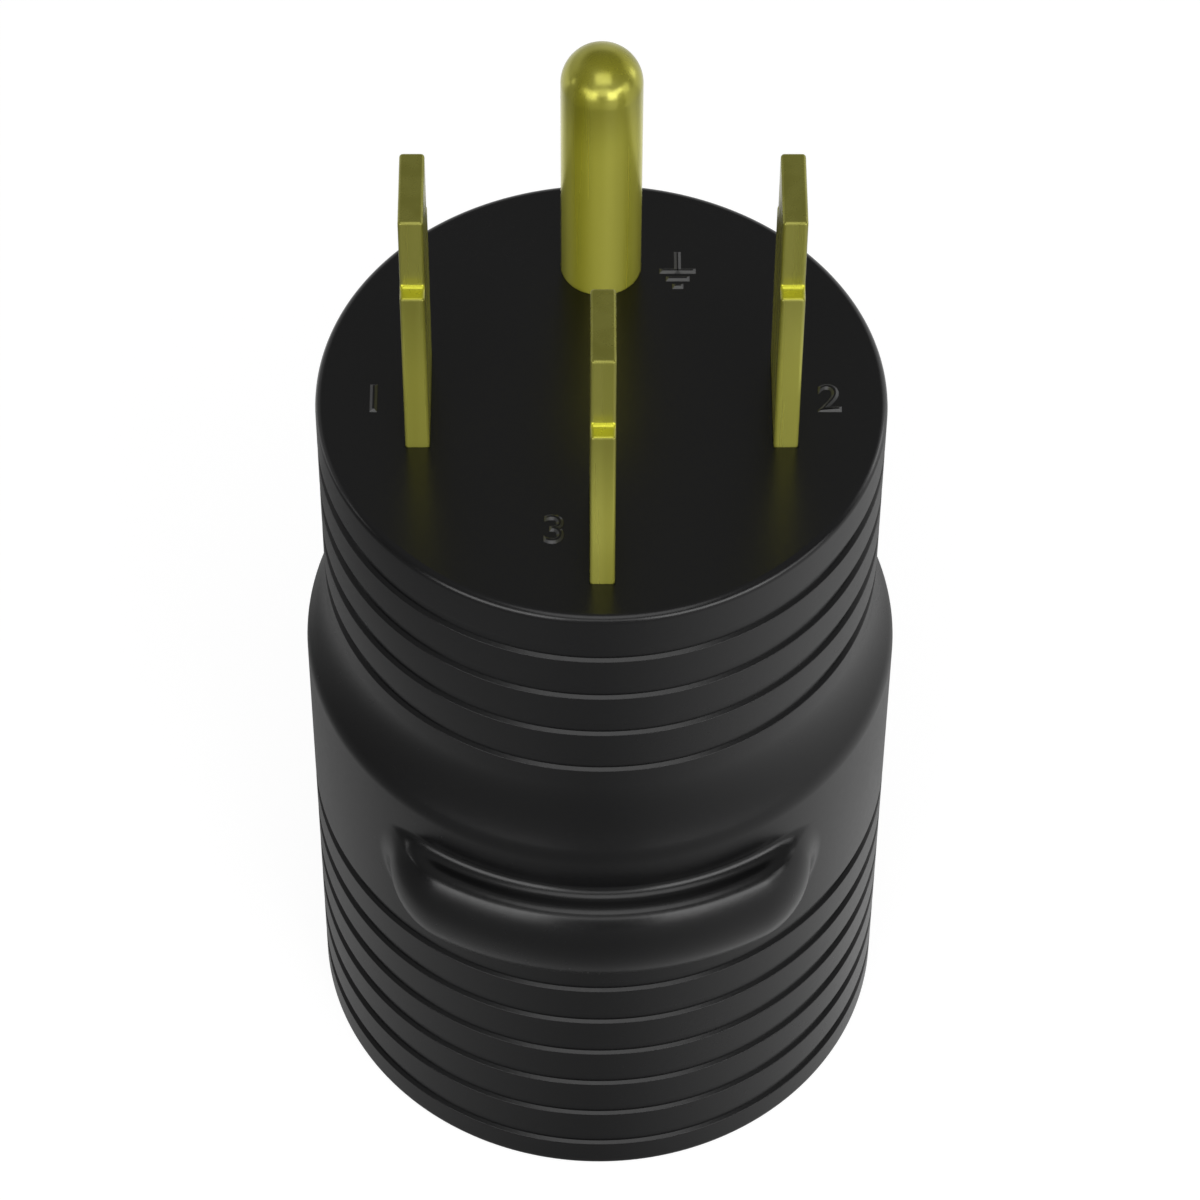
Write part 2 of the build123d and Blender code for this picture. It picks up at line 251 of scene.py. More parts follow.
def new_object(name: str, mesh: bpy.types.Mesh) -> bpy.types.Object:
    """Link a mesh into the scene as an object at the origin.

    Args:
        name: the object's name, and the mesh's.
        mesh: its mesh.

    Returns:
        The object.
    """
    mesh.name = name
    piece = bpy.data.objects.new(name, mesh)
    bpy.context.scene.collection.objects.link(piece)
    return piece


def settle(name: str, start: bpy.types.Object) -> bpy.types.Object:
    """Turn an object and its modifiers into a plain mesh object.

    Args:
        name: the new object's name.
        start: the object, which is used up.

    Returns:
        The plain object.
    """
    bpy.context.view_layer.update()
    evaluated = start.evaluated_get(bpy.context.evaluated_depsgraph_get())
    mesh = bpy.data.meshes.new_from_object(evaluated)
    bpy.data.objects.remove(start)
    return new_object(name, mesh)


def polyline(name: str, points: Iterable[Point]) -> bpy.types.Object:
    """Make an object that holds a profile in the plane y = 0.

    Args:
        name: the object's name.
        points: the profile's (radius, height) points in millimetres, in order.

    Returns:
        An object of edges.
    """
    mesh = bpy.data.meshes.new(name)
    places = [(radius * MM, 0.0, height * MM) for radius, height in points]
    mesh.from_pydata(places, [(index, index + 1) for index in range(len(places) - 1)], [])
    return new_object(name, mesh)


def cut(piece: bpy.types.Object, cutter: bpy.types.Object) -> bpy.types.Object:
    """Cut one closed solid out of another.

    Args:
        piece: the solid that is cut, which is used up.
        cutter: the solid that is taken away, which is used up.

    Returns:
        What is left, under the first one's name.
    """
    name = piece.name
    cutting = piece.modifiers.new("cut", "BOOLEAN")
    cutting.operation = "DIFFERENCE"
    cutting.solver = "EXACT"
    cutting.object = cutter
    left = settle(name, piece)
    bpy.data.objects.remove(cutter)
    return left


def add(piece: bpy.types.Object, more: bpy.types.Object) -> bpy.types.Object:
    """Put the faces of two pieces into one.

    Args:
        piece: the first piece, which is used up.
        more: the second piece, which is used up.

    Returns:
        The joined piece, under the first one's name.
    """
    name = piece.name
    form = bmesh.new()
    for part in (piece, more):
        form.from_mesh(part.data)
        bpy.data.objects.remove(part)
    return from_form(name, form)


def paint(piece: bpy.types.Object, finish: bpy.types.Material) -> None:
    """Give a whole piece one material.

    Args:
        piece: the piece.
        finish: its material.
    """
    piece.data.materials.clear()
    piece.data.materials.append(finish)
    piece.data.polygons.foreach_set("material_index", [0] * len(piece.data.polygons))


def shade(piece: bpy.types.Object, sharp_degrees: float) -> bpy.types.Object:
    """Shade a piece smooth, with its flats kept flat and its sharp edges sharp.

    The normals are weighted while the piece is a thousand times its size, because areas in square
    metres are too small to tell apart.

    Args:
        piece: the piece, which is used up.
        sharp_degrees: the least angle of an edge that stays sharp.

    Returns:
        The shaded piece.
    """
    piece.data.polygons.foreach_set("use_smooth", [True] * len(piece.data.polygons))
    piece.data.set_sharp_from_angle(angle=math.radians(sharp_degrees))
    piece.data.transform(Matrix.Scale(1 / MM, 4))
    weighted = piece.modifiers.new("flats", "WEIGHTED_NORMAL")
    weighted.keep_sharp = True
    weighted.weight = FLAT_WEIGHT
    shaded = settle(piece.name, piece)
    shaded.data.transform(Matrix.Scale(MM, 4))
    return shaded


def round_edges(
    piece: bpy.types.Object, radius: float, segments: int, least_degrees: float
) -> None:
    """Round the sharp edges of a piece.

    Args:
        piece: the piece.
        radius: the rounding's radius in millimetres.
        segments: how many faces go round an edge.
        least_degrees: the least angle of an edge that is rounded.
    """
    rounding = piece.modifiers.new("edges", "BEVEL")
    rounding.width = radius * MM
    rounding.segments = segments
    rounding.limit_method = "ANGLE"
    rounding.angle_limit = math.radians(least_degrees)
    rounding.harden_normals = True


def dress(piece: bpy.types.Object, slot: str, *nodes: str) -> None:
    """Let a finished piece ride on the adapter, in place of its CAD nodes.

    Args:
        piece: the piece.
        slot: the record's material slot that it is listed under, which is only logged.
        nodes: the CAD nodes that it replaces.
    """
    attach(piece, "root")
    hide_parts(*nodes)
    log.info("%s: %d faces, slot %s", piece.name, len(piece.data.polygons), slot)


class Outline:
    """A profile drawn end to end from runs and arcs, as points in millimetres."""

    def __init__(self, across: float, height: float) -> None:
        """Start at a point."""
        self.points: list[Point] = [(across, height)]

    def to(self, across: float, height: float, steps: int = 1) -> "Outline":
        """Draw a straight run, in equal steps.

        Args:
            across: where the run ends, out from the axis or along the piece.
            height: the height where it ends.
            steps: how many parts it has.

        Returns:
            The outline.
        """
        start_across, start_height = self.points[-1]
        for step in range(1, steps + 1):
            share = step / steps
            along = start_across + (across - start_across) * share
            self.points.append((along, start_height + (height - start_height) * share))
        return self

    def turn(
        self, centre: Point, radius: float, start: float, sweep: float, steps: int
    ) -> "Outline":
        """Draw an arc, without its first point.

        Args:
            centre: the arc's centre.
            radius: its radius.
            start: the angle where it starts, in degrees up from the outward direction.
            sweep: how far it turns, in degrees.
            steps: how many parts it has.

        Returns:
            The outline.
        """
        across, height = centre
        for step in range(1, steps + 1):
            angle = math.radians(start + sweep * step / steps)
            along, above = radius * math.cos(angle), radius * math.sin(angle)
            self.points.append((across + along, height + above))
        return self


def stack(form: bmesh.types.BMesh, rings: Sequence[Sequence[Vector]]) -> None:
    """Add a closed solid that is built up from level rings.

    Args:
        form: the form that the solid goes into.
        rings: its sections from the bottom up, with the same number of points in each.
    """
    levels = [[form.verts.new(point * MM) for point in ring] for ring in rings]
    form.faces.new(levels[0][::-1])
    form.faces.new(levels[-1])
    for lower, upper in zip(levels, levels[1:]):
        for index, corner in enumerate(lower):
            after = (index + 1) % len(lower)
            form.faces.new((corner, lower[after], upper[after], upper[index]))


def box_ring(
    x: float, y: float, along: float, across: float, height: float, turn: float = 0.0
) -> list[Vector]:
    """Give the corners of a level rectangle.

    Args:
        x: its middle's place along x.
        y: its middle's place along y.
        along: its size along x, before it is turned.
        across: its size along y, before it is turned.
        height: its height.
        turn: how far it is turned, in degrees.

    Returns:
        Its four corners in order.
    """
    turned = Matrix.Rotation(math.radians(turn), 3, "Z")
    corners = ((-1, -1), (1, -1), (1, 1), (-1, 1))
    middle = Vector((x, y, height))
    return [middle + turned @ Vector((i * along / 2, j * across / 2, 0)) for i, j in corners]


def round_ring(x: float, y: float, radius: float, height: float, sides: int = 96) -> list[Vector]:
    """Give the points of a level circle.

    Args:
        x: its middle's place along x.
        y: its middle's place along y.
        radius: its radius.
        height: its height.
        sides: how many points it has.

    Returns:
        Its points in order.
    """
    angles = [2 * math.pi * index / sides for index in range(sides)]
    return [
        Vector((x + radius * math.cos(angle), y + radius * math.sin(angle), height))
        for angle in angles
    ]


def from_form(
    name: str, form: bmesh.types.BMesh, finish: bpy.types.Material | None = None
) -> bpy.types.Object:
    """Turn a form into an object with its faces outwards.

    Args:
        name: the object's name.
        form: the form, which is used up.
        finish: the object's material, where it has one.

    Returns:
        The object.
    """
    bmesh.ops.recalc_face_normals(form, faces=form.faces)
    mesh = bpy.data.meshes.new(name)
    form.to_mesh(mesh)
    form.free()
    if finish:
        mesh.materials.append(finish)
    return new_object(name, mesh)


def start_material(
    name: str, constants: Mapping[str, object]
) -> tuple[Graph, bpy.types.Node, bpy.types.Material]:
    """Begin a material.

    Args:
        name: the material's name.
        constants: sockets of its shader that are the same all over, and their values.

    Returns:
        The material's graph, its shader node and the material.
    """
    material = bpy.data.materials.new(name)
    material.use_nodes = True
    shader = material.node_tree.nodes["Principled BSDF"]
    for socket, value in constants.items():
        shader.inputs[socket].default_value = value
    return Graph(material.node_tree), shader, material


def object_place(graph: Graph, stretch: Sequence[float] = (1.0, 1.0, 1.0)) -> Value:
    """Give the place on the piece in metres in the shared frame, stretched along each axis."""
    return graph.vector("MULTIPLY", graph.add("ShaderNodeTexCoord", output="Object"), stretch)


def noise(graph: Graph, place: Value, scale: float, detail: float) -> Value:
    """Give fractal noise from 0 to 1, with so many features in a metre."""
    inputs = {"Vector": place, "Scale": scale, "Detail": detail}
    return graph.add("ShaderNodeTexNoise", None, inputs)


def blend(graph: Graph, share: Operand, first: Colour | Value, second: Colour) -> Value:
    """Mix two colours.

    Args:
        graph: the graph.
        share: how much of the second colour shows, from 0 to 1.
        first: the first colour, or a value that gives it.
        second: the second colour.

    Returns:
        The mixed colour.
    """
    under = first if isinstance(first, Value) else (*first, 1.0)
    inputs = {0: share, 6: under, 7: (*second, 1.0)}
    return graph.add("ShaderNodeMix", {"data_type": "RGBA"}, inputs, 2)


def between(height: Value, low: float, high: float, soft: float) -> Value:
    """Give 1 between two heights and 0 outside them, with soft ends inside. All are in metres."""
    return height.rise(low, low + soft) * (1 - height.rise(high - soft, high))


def bump(graph: Graph, height: Value, depth: float, under: Value | None = None) -> Value:
    """Give the normal of a fine relief.

    Args:
        graph: the graph.
        height: the relief's height, from 0 to 1.
        depth: how deep that is, in millimetres.
        under: the normal of the relief beneath, where there is one.

    Returns:
        The normal.
    """
    inputs = {"Strength": 1.0, "Distance": depth * MM, "Height": height}
    if under:
        inputs["Normal"] = under
    return graph.add("ShaderNodeBump", None, inputs)


@dataclass(frozen=True)
class MouldedPlastic:
    """Satin moulded plastic with a fine skin and faint flow marks.

    The slopes of raised marks between two heights are painted lighter, a painted highlight where
    they would catch the light. The heights and the blur of their ends are in metres, the depth in
    millimetres, and a scale is a number of features in a metre.
    """

    name: str
    colour: Colour
    flow_colour: Colour
    roughness: float = 0.25
    specular: float = 0.5
    skin_scale: float = 2200.0
    skin_depth: float = 0.004
    skin_roughness: float = 0.08
    flow_scale: float = 60.0
    flow_roughness: float = 0.06
    slope_highlight: Point | None = None
    slope_highlight_colour: Colour = (0.055, 0.055, 0.057)
    slope_highlight_blur: float = 0.02 * MM

    def material(self) -> bpy.types.Material:
        """Build the material.

        Returns:
            The material.
        """
        graph, shader, material = start_material(self.name, {"Specular IOR Level": self.specular})
        place = object_place(graph)
        skin = noise(graph, place, self.skin_scale, 2.0)
        flow = noise(graph, place, self.flow_scale, 3.0)
        colour = blend(graph, flow, self.colour, self.flow_colour)
        # Painted highlight: the slopes of the raised marks, between two heights, get a lighter
        # colour where they would catch the light.
        if self.slope_highlight:
            _, _, height = graph.separate(place)
            slopes = between(height, *self.slope_highlight, self.slope_highlight_blur)
            colour = blend(graph, slopes, colour, self.slope_highlight_colour)
        rough = (skin - 0.5) * self.skin_roughness + (flow - 0.5) * self.flow_roughness
        graph.feed(shader.inputs["Base Color"], colour)
        graph.feed(shader.inputs["Roughness"], rough + self.roughness)
        graph.feed(shader.inputs["Normal"], bump(graph, skin, self.skin_depth))
        return material


@dataclass(frozen=True)
class WorkedMetal:
    """Bright metal with fine lines along one direction and soft hollows from working.

    A piece that plugs in is also painted darker towards its end, between two heights, as painted
    shade where little light falls, and a ledge cut into it that faces up is painted bright yellow
    between two others, as a painted reflection. The heights and the blur are in metres, the depths
    in millimetres, and a scale is a number of features in a metre.
    """

    name: str
    colour: Colour
    tarnish: Colour
    roughness: float = 0.26
    metallic: float = 1.0
    grain: Triple = (1.0, 1.0, 0.02)
    line_scale: float = 2600.0
    line_depth: float = 0.0005
    streak_scale: float = 700.0
    hollow_scale: float = 420.0
    hollow_depth: float = 0.004
    line_roughness: float = 0.14
    streak_roughness: float = 0.06
    streak_edges: Point = (0.32, 0.68)
    shaded_tip: Point | None = None
    tip_shade: float = 0.4
    ledge_reflection: Point | None = None
    ledge_reflection_colour: Colour = (0.68, 0.67, 0.04)
    ledge_reflection_blur: float = 0.1 * MM
    ledge_reflection_facing: Point = (0.2, 0.5)

    def material(self) -> bpy.types.Material:
        """Build the material.

        Returns:
            The material.
        """
        graph, shader, material = start_material(self.name, {"Metallic": self.metallic})
        place = object_place(graph)
        along = object_place(graph, self.grain)
        lines = noise(graph, along, self.line_scale, 3.0)
        hollows = noise(graph, place, self.hollow_scale, 1.0)
        streaks = noise(graph, along, self.streak_scale, 1.0).rise(*self.streak_edges)
        colour = blend(graph, streaks, self.colour, self.tarnish)
        _, _, height = graph.separate(place)
        # Painted shade: the piece is darkened towards its end, where little light falls on it.
        if self.shaded_tip:
            tip_shade_factor = 1 - (height + (streaks - 0.5) * MM).rise(*self.shaded_tip) * self.tip_shade
            colour = graph.vector("MULTIPLY", colour, graph.combine(tip_shade_factor, tip_shade_factor, tip_shade_factor))
        # Painted reflection: the upward-facing ledge between two heights is coloured bright yellow,
        # standing in for the blade reflected in it.
        if self.ledge_reflection:
            _, _, upward = graph.separate(graph.add("ShaderNodeTexCoord", output="Normal"))
            ledge = between(height, *self.ledge_reflection, self.ledge_reflection_blur) * upward.rise(*self.ledge_reflection_facing)
            colour = blend(graph, ledge, colour, self.ledge_reflection_colour)
        rough = (lines - 0.5) * self.line_roughness + (streaks - 0.5) * self.streak_roughness
        graph.feed(shader.inputs["Base Color"], colour)
        graph.feed(shader.inputs["Roughness"], rough + self.roughness)
        normal = bump(graph, hollows, self.hollow_depth)
        graph.feed(shader.inputs["Normal"], bump(graph, lines, self.line_depth, normal))
        return material


Finish = MouldedPlastic | WorkedMetal

# The grip's raised marks get a painted highlight on their slopes.
GRIP_BLACK = MouldedPlastic(
    "grip_black", (0.0034, 0.0034, 0.0036), (0.0052, 0.0052, 0.0055), slope_highlight=(0.066905, 0.067045)
)
CARRIER_BLACK = MouldedPlastic("carrier_black", (0.020, 0.020, 0.022), (0.026, 0.026, 0.028), 0.5)
INSERT_BLACK = MouldedPlastic("insert_black", (0.012, 0.012, 0.013), (0.017, 0.017, 0.018), 0.36)
# The brass finishes are painted darker towards their tips (painted shade), and the blades' upward
# ledge gets a painted reflection.
BLADE_BRASS = WorkedMetal(
    "blade_brass", (0.59, 0.575, 0.110), (0.50, 0.485, 0.080), 0.28, 0.50,
    shaded_tip=(0.073, 0.084), ledge_reflection=(0.0822, 0.0827),
)
PIN_BRASS = WorkedMetal(
    "pin_brass", (0.92, 0.89, 0.15), (0.69, 0.66, 0.05), 0.25, 0.50,
    line_depth=0.0002, streak_scale=420.0, shaded_tip=(0.080, 0.087), tip_shade=0.45,
)
CONTACT_BRASS = WorkedMetal("contact_brass", (0.72, 0.60, 0.22), (0.66, 0.54, 0.18), 0.30)
SPRING_STEEL = WorkedMetal(
    "spring_steel", (0.56, 0.57, 0.59), (0.50, 0.51, 0.53), 0.3, grain=(0.02, 1.0, 1.0)
)
WIRE_COPPER = WorkedMetal("wire_copper", (0.86, 0.42, 0.24), (0.78, 0.36, 0.19), 0.3)
LINE_JACKET = MouldedPlastic("jacket_black", (0.012, 0.012, 0.012), (0.016, 0.016, 0.016), 0.35)
NEUTRAL_JACKET = MouldedPlastic("jacket_white", (0.72, 0.71, 0.68), (0.76, 0.75, 0.72), 0.35)
EARTH_JACKET = MouldedPlastic("jacket_green", (0.02, 0.20, 0.06), (0.03, 0.23, 0.08), 0.35)


class Pole(Enum):
    """The flat blades: CAD node, numeral beside it, numeral's place, and whether it is wired."""

    LINE = ("line_blade", "1", (-15.9, -0.57), True)
    SPARE = ("spare_line_blade", "2", (15.9, -0.57), False)
    NEUTRAL = ("neutral_blade", "3", (-3.28, -12.29), True)

    @property
    def node(self) -> str:
        """The blade's CAD node."""
        return self.value[0]

    @property
    def numeral(self) -> str:
        """The numeral beside the blade."""
        return self.value[1]

    @property
    def numeral_place(self) -> Point:
        """Where the numeral's middle lies on the face."""
        return self.value[2]

    @property
    def wired(self) -> bool:
        """Whether a wire is crimped to the blade."""
        return self.value[3]


def turned_tree() -> ShapeGraph:
    """Build the tree that turns a profile round an upright axis.

    The Shape input is the profile, whose points run in order with their radius in x. The tree lays
    a grid, one row for each profile point, and rolls it up. Crowding draws the columns together at
    the four diagonals.

    Returns:
        The tree.
    """
    inputs = {"Columns": "NodeSocketInt", "Crowding": "NodeSocketFloat"}
    graph = ShapeGraph("turned_piece", {**inputs, "Place": "NodeSocketVector"})
    profile = graph.given("Shape")
    columns = graph.given("Columns")
    counted = {"Geometry": profile}
    rows = graph.add("GeometryNodeAttributeDomainSize", {"component": "MESH"}, counted)
    row_points = columns + 1
    grid = graph.add("GeometryNodeMeshGrid", None, {"Vertices X": rows, "Vertices Y": row_points})
    index = graph.add("GeometryNodeInputIndex")
    row = ((index + 0.5) / row_points).math("FLOOR")
    column = index - row * row_points
    sampled = graph.add(
        "GeometryNodeSampleIndex",
        {"data_type": "FLOAT_VECTOR", "domain": "POINT"},
        {"Geometry": profile, "Value": graph.add("GeometryNodeInputPosition"), "Index": row},
    )
    radius, _, height = graph.separate(sampled)
    even = column * (2 * math.pi) / columns
    angle = even + (even * 4).math("SINE") * graph.given("Crowding") / 4
    rolled = graph.combine(radius * angle.math("COSINE"), radius * angle.math("SINE"), height)
    placed = graph.vector("ADD", rolled, graph.given("Place"))
    shell = graph.add("GeometryNodeSetPosition", None, {"Geometry": grid, "Position": placed})
    closed = graph.add("GeometryNodeMergeByDistance", None, {"Geometry": shell, "Distance": 1e-6})
    inputs = {"Geometry": closed, "Shade Smooth": True}
    graph.finish(graph.add("GeometryNodeSetShadeSmooth", None, inputs))
    return graph


def lip_tree() -> ShapeGraph:
    """Build the tree that raises the two finger lips out of a turned wall.

    Each point of the band moves along a ray that fans out from a ring inside the lip, and halves
    its way to where the rounded union of the wall and the lip ends. The lip is a round bar, bowed
    round the axis and cut level by its ledge.

    Returns:
        The tree.
    """
    halvings, tolerance = 22, 0.001 * MM
    sizes = (
        "Wall radius", "Bow radius", "Bar radius", "Bar height", "Ledge height", "Half angle",
        "Ledge round", "Root round", "Reach", "Ray radius", "Ray height", "Band bottom", "Band top",
    )
    graph = ShapeGraph("finger_lips", {size: "NodeSocketFloat" for size in sizes})
    size = {name: graph.given(name) for name in sizes}
    x, y, z = graph.separate(graph.add("GeometryNodeInputPosition"))
    radius = length(x, y)
    on_wall = radius.math("COMPARE", size["Wall radius"], tolerance)
    in_band = (z > size["Band bottom"]) * (z < size["Band top"])

    stretch = (size["Reach"] - size["Wall radius"]) / (size["Wall radius"] - size["Ray radius"])
    outward = (size["Reach"] - size["Wall radius"]) / radius
    ray = graph.combine(x * outward, y * outward, (z - size["Ray height"]) * stretch)
    marked = graph.given("Shape")
    stored = (("ray", "FLOAT_VECTOR", ray), ("lip_band", "BOOLEAN", on_wall * in_band))
    for name, kind, value in stored:
        marked = graph.add(
            "GeometryNodeStoreNamedAttribute",
            {"data_type": kind, "domain": "POINT"},
            {"Geometry": marked, "Name": name, "Value": value},
        )

    angle = x.math("ABSOLUTE").math("ARCTAN2", y.math("ABSOLUTE"))
    past_end = (angle - size["Half angle"]).most(0.0)
    across = radius - size["Bow radius"] * past_end.math("COSINE")
    aside = size["Bow radius"] * past_end.math("SINE")
    bar = length(length(across, aside), z - size["Bar height"]) - size["Bar radius"]
    ledge = z - size["Ledge height"]
    corner = size["Ledge round"]
    past_corner = length((bar + corner).most(0.0), (ledge + corner).most(0.0))
    lip = bar.most(ledge).least(0 - corner) + past_corner
    wall = radius - size["Wall radius"]
    root = size["Root round"]
    outside = wall.least(lip).most(root) - length((root - wall).most(0.0), (root - lip).most(0.0))

    start = graph.tree.nodes.new("GeometryNodeRepeatInput")
    end = graph.tree.nodes.new("GeometryNodeRepeatOutput")
    start.pair_with_output(end)
    end.repeat_items.new("FLOAT", "Step")
    for name, given in (("Iterations", halvings), ("Geometry", marked), ("Step", 0.5)):
        graph.feed(start.inputs[name], given)
    step = Value(graph, start.outputs["Step"])
    read = "GeometryNodeInputNamedAttribute"
    named = graph.add(read, {"data_type": "FLOAT_VECTOR"}, {"Name": "ray"})
    band = graph.add(read, {"data_type": "BOOLEAN"}, {"Name": "lip_band"})
    scaled = {0: named, "Scale": (1 - (outside > 0.0) * 2) * step}
    offset = graph.add("ShaderNodeVectorMath", {"operation": "SCALE"}, scaled)
    shape = Value(graph, start.outputs["Geometry"])
    moving = {"Geometry": shape, "Selection": band, "Offset": offset}
    graph.feed(end.inputs["Geometry"], graph.add("GeometryNodeSetPosition", None, moving))
    graph.feed(end.inputs["Step"], step * 0.5)
    raised = Value(graph, end.outputs["Geometry"])
    for name in ("ray", "lip_band"):
        raised = graph.add("GeometryNodeRemoveAttribute", None, {"Geometry": raised, "Name": name})
    graph.finish(raised)
    return graph


@dataclass
class Grip:
    """The moulded grip: turned wall with ring grooves, two finger lips, marks and pole openings."""

    columns: int = 352
    crowding: float = 0.55
    face_radius: float = 20.0
    face_round: float = 0.6
    foot_round: float = 0.9
    neck_round: float = 13.8
    shoulder_round: float = 3.8
    shoulder_start: float = 40.27
    groove_height: float = 1.3
    groove_depth: float = 0.27
    groove_drop: float = 0.17
    groove_round: float = 0.08
    plug_grooves: tuple[float, float, int] = (63.4, 4.2, 4)
    grip_grooves: tuple[float, float, int] = (25.42, 4.21, 6)
    lip_bow: float = 18.1
    lip_bar: float = 6.5
    lip_height: float = 32.97
    lip_ledge: float = 36.97
    lip_half_angle: float = 29.5
    ledge_round: float = 0.5
    root_round: float = 0.9
    ray_ring: Point = (17.0, 34.0)
    pocket_radius: float = 17.8
    chamber_radius: float = 15.6
    foot_opening: float = 16.3
    foot_rim: float = 2.0
    chamber_top: float = 56.5
    fit: float = 0.03
    numeral_height: float = 2.5
    mark_rise: float = 0.145
    mark_slope: float = 0.2
    mark_thinning: float = 0.1
    earth_sign: Point = (5.45, 11.4)
    sign_line: float = 0.5
    sign_pitch: float = 0.72
    sign_width: float = 2.6
    sign_taper: float = 0.9
    stem_length: float = 1.6
    numeral_share: float = 0.73
    band_gaps: Point = (0.4, 0.05)
    ray_over: float = 0.6
    sharp_degrees: float = 33.0

    def __post_init__(self) -> None:
        """Read the sizes that the frame gives."""
        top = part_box("body")[1]
        self.radius = top.x / MM
        self.height = top.z / MM
        self.pocket_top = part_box("blade_carrier")[1].z / MM
        self.chamber_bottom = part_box("socket_cover")[1].z / MM

    def groove(self, outline: Outline, wall: float, top: float) -> None:
        """Draw one ring groove down a wall: a round brow, an upright back and a slope back out.

        Args:
            outline: the outline, which goes down the wall.
            wall: the wall's radius.
            top: the height of the groove's upper edge.
        """
        bottom = top - self.groove_height
        root = wall - self.groove_depth
        brow = wall - self.groove_round
        outline.to(wall, top + self.groove_round)
        outline.turn((brow, top + self.groove_round), self.groove_round, 0, -90, steps=4)
        outline.to(root, top)
        outline.to(root, bottom + self.groove_drop)
        outline.to(wall - self.groove_round / 2, bottom + self.groove_round / 3)
        outline.to(wall, bottom - self.groove_round / 2)

    def lip_rows(self, outline: Outline) -> None:
        """Draw the plain wall behind the lips, with its rows where the rays meet the lip's rounds.

        Args:
            outline: the outline, which goes down the wall.
        """
        spans = (
            (50.0, 40.5, 4), (40.5, 28.6, 14), (28.6, 26.7, 2), (26.7, 23.2, 9),
            (23.2, -51.0, 48), (-51.0, -59.2, 12),
        )
        ring_radius, ring_height = self.ray_ring
        reach = self.radius - ring_radius
        for start, end, steps in spans:
            for step in range(1, steps + 1):
                angle = math.radians(start + (end - start) * step / steps)
                outline.to(self.radius, ring_height + reach * math.tan(angle))

    def outline(self) -> Outline:
        """Draw the whole section, from the middle of the face round to the middle of the inside.

        Returns:
            The outline.
        """
        both = self.shoulder_round + self.neck_round
        lean = math.acos(1 - (self.radius - self.face_radius) / both)
        neck_end = self.shoulder_start + both * math.sin(lean)
        lean_degrees = math.degrees(lean)
        face_centre = (self.face_radius - self.face_round, self.height - self.face_round)
        foot_centre = (self.radius - self.foot_round, self.foot_round)
        outline = Outline(0, self.height)
        outline.to(face_centre[0], self.height, 4)
        outline.turn(face_centre, self.face_round, 90, -90, steps=8)
        first, pitch, count = self.plug_grooves
        for index in range(count):
            self.groove(outline, self.face_radius, first - index * pitch)
        outline.to(self.face_radius, neck_end)
        neck_centre = (self.face_radius + self.neck_round, neck_end)
        outline.turn(neck_centre, self.neck_round, 180, lean_degrees, steps=14)
        shoulder_centre = (self.radius - self.shoulder_round, self.shoulder_start)
        outline.turn(shoulder_centre, self.shoulder_round, lean_degrees, -lean_degrees, steps=10)
        self.lip_rows(outline)
        first, pitch, count = self.grip_grooves
        for index in range(count):
            self.groove(outline, self.radius, first - index * pitch)
        outline.to(self.radius, foot_centre[1])
        outline.turn(foot_centre, self.foot_round, 0, -90, steps=8)
        outline.to(self.foot_opening, 0)
        outline.to(self.foot_opening, self.foot_rim)
        outline.to(self.pocket_radius, self.foot_rim)
        outline.to(self.pocket_radius, self.chamber_bottom)
        outline.to(self.chamber_radius, self.chamber_bottom)
        outline.to(self.chamber_radius, self.chamber_top)
        outline.to(self.pocket_radius, self.chamber_top)
        outline.to(self.pocket_radius, self.pocket_top)
        outline.to(0, self.pocket_top)
        return outline

    def openings(self) -> bpy.types.Object:
        """Make the solids that open the face for the blades and the pin.

        Returns:
            An object that holds them.
        """
        form = bmesh.new()
        levels = (self.pocket_top - 1, self.height + 1)
        sides = (Blade.thickness + 2 * self.fit, Blade.width + 2 * self.fit)
        for pole in Pole:
            blade = Blade(pole)
            middle = blade.front + blade.width / 2
            stack(form, [box_ring(blade.x, middle, *sides, level) for level in levels])
        pin = EarthPin()
        stack(form, [round_ring(0, pin.y, pin.radius + self.fit, level) for level in levels])
        return from_form("openings", form)

    def marks(self) -> bpy.types.Object:
        """Make the raised numerals and the earth sign, whose lines slope down on both sides.

        Returns:
            An object that holds them.
        """
        form = bmesh.new()
        for pole in Pole:
            self.add_numeral(form, pole)
        x, y = self.earth_sign
        line, both = self.sign_line, 2 * self.mark_slope
        bars = [
            (x, y - row * self.sign_pitch, self.sign_width - self.sign_taper * row, line)
            for row in range(3)
        ]
        bars.append((x, y + self.stem_length / 2, line, self.stem_length + line))
        for i, j, along, across in bars:
            stack(form, [
                box_ring(i, j, along, across, self.height - self.mark_rise),
                box_ring(i, j, along, across, self.height),
                box_ring(i, j, along - both, across - both, self.height + self.mark_rise),
            ])
        return from_form("marks", form)

    def add_numeral(self, form: bmesh.types.BMesh, pole: Pole) -> None:
        """Add one blade's numeral, centred on its place.

        Args:
            form: the form that the numeral goes into.
            pole: the blade.
        """
        curve = bpy.data.curves.new("numeral", "FONT")
        curve.body = pole.numeral
        curve.size = self.numeral_height * MM / self.numeral_share
        curve.align_x = "CENTER"
        curve.align_y = "CENTER"
        curve.offset = -self.mark_thinning * MM
        curve.bevel_depth = self.mark_slope * MM
        curve.bevel_resolution = 0
        curve.resolution_u = 6
        text = bpy.data.objects.new("numeral", curve)
        bpy.context.scene.collection.objects.link(text)
        numeral = settle("numeral", text)
        x, y = pole.numeral_place
        numeral.data.transform(Matrix.Diagonal((1.0, 1.0, self.mark_rise / self.mark_slope, 1.0)))
        numeral.data.transform(Matrix.Translation(Vector((x, y, self.height)) * MM))
        form.from_mesh(numeral.data)
        bpy.data.objects.remove(numeral)
        bmesh.ops.remove_doubles(form, verts=form.verts, dist=1e-7)

